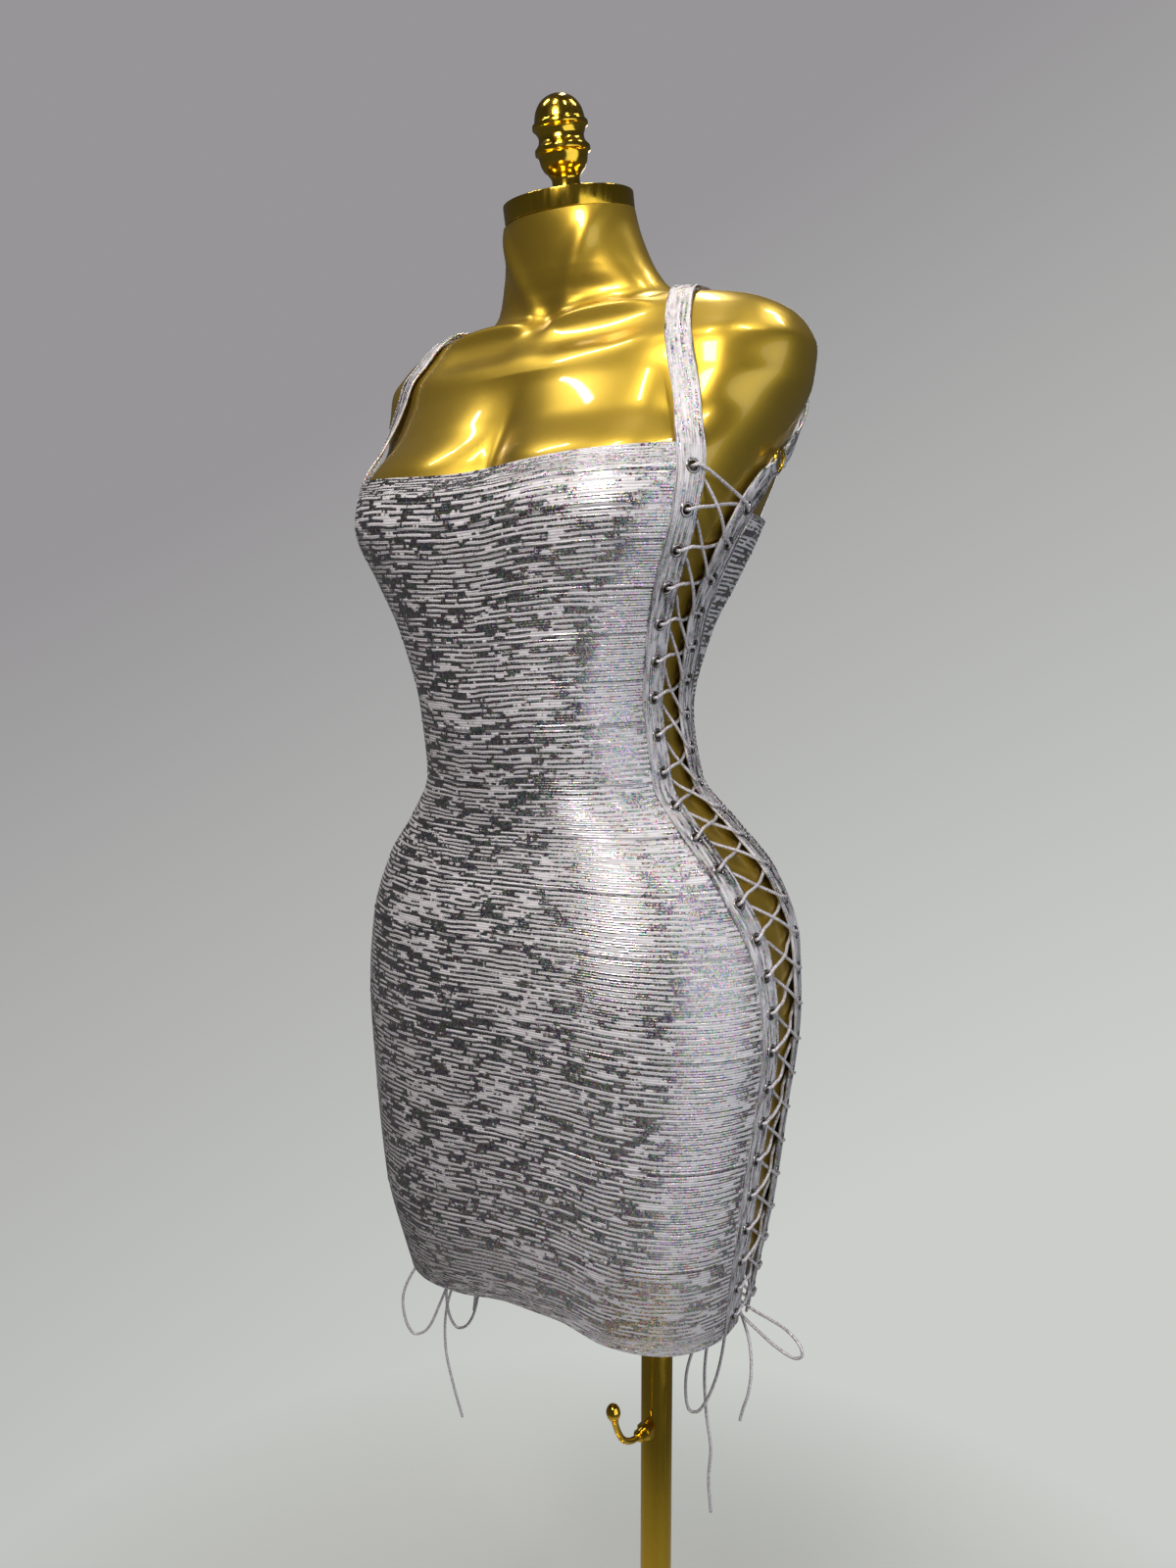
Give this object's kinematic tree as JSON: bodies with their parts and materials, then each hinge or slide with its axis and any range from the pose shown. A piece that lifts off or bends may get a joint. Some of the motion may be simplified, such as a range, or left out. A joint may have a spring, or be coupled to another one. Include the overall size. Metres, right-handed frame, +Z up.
{
  "type": "bodycon dress on dress form",
  "caption": "Sleeveless bodycon dress of banded metallic knit with a straight neckline, strap plackets and sides laced to bows, worn by a limbless gold dress form on a pole.",
  "frame": {"origin": "on the underside of the base, straight below the middle of the dress form", "axes": "+Z up; the dress faces -Y; the wearer's left side is +X"},
  "size_m": [0.4324, 0.35, 1.556],
  "materials": {
    "foil_knit": "fine ribbed bandage knit, light grey, with a broken metallic silver foil and fine glitter; semi-matt to shiny",
    "foil_band": "the same foiled knit, folded and stitched, streaks running along the band",
    "lace_cord": "round braided silver-grey cord, satin",
    "form_gold": "glossy clear-coated metallic gold paint on moulded fibreglass",
    "stand_brass": "polished, lightly worn"
  },
  "bodies": {
    "root": {"torso": "form_gold", "neck_cap": "stand_brass", "finial": "stand_brass", "base": "stand_brass", "pole": "stand_brass", "collar": "stand_brass", "hook": "stand_brass", "strap_ring_left": "stand_brass", "strap_ring_right": "stand_brass", "front_panel": "foil_knit", "back_panel": "foil_knit", "front_band_left": "foil_band", "front_band_right": "foil_band", "back_band_left": "foil_band", "back_band_right": "foil_band", "lace_left_a": "lace_cord", "lace_left_b": "lace_cord", "lace_right_a": "lace_cord", "lace_right_b": "lace_cord", "loop_left_out": "lace_cord", "loop_left_down": "lace_cord", "loop_right_out": "lace_cord", "loop_right_down": "lace_cord", "end_left_long": "lace_cord", "end_left_short": "lace_cord", "end_right_long": "lace_cord", "end_right_short": "lace_cord", "knot_left": "lace_cord", "knot_right": "lace_cord"}
  },
  "joints": []
}
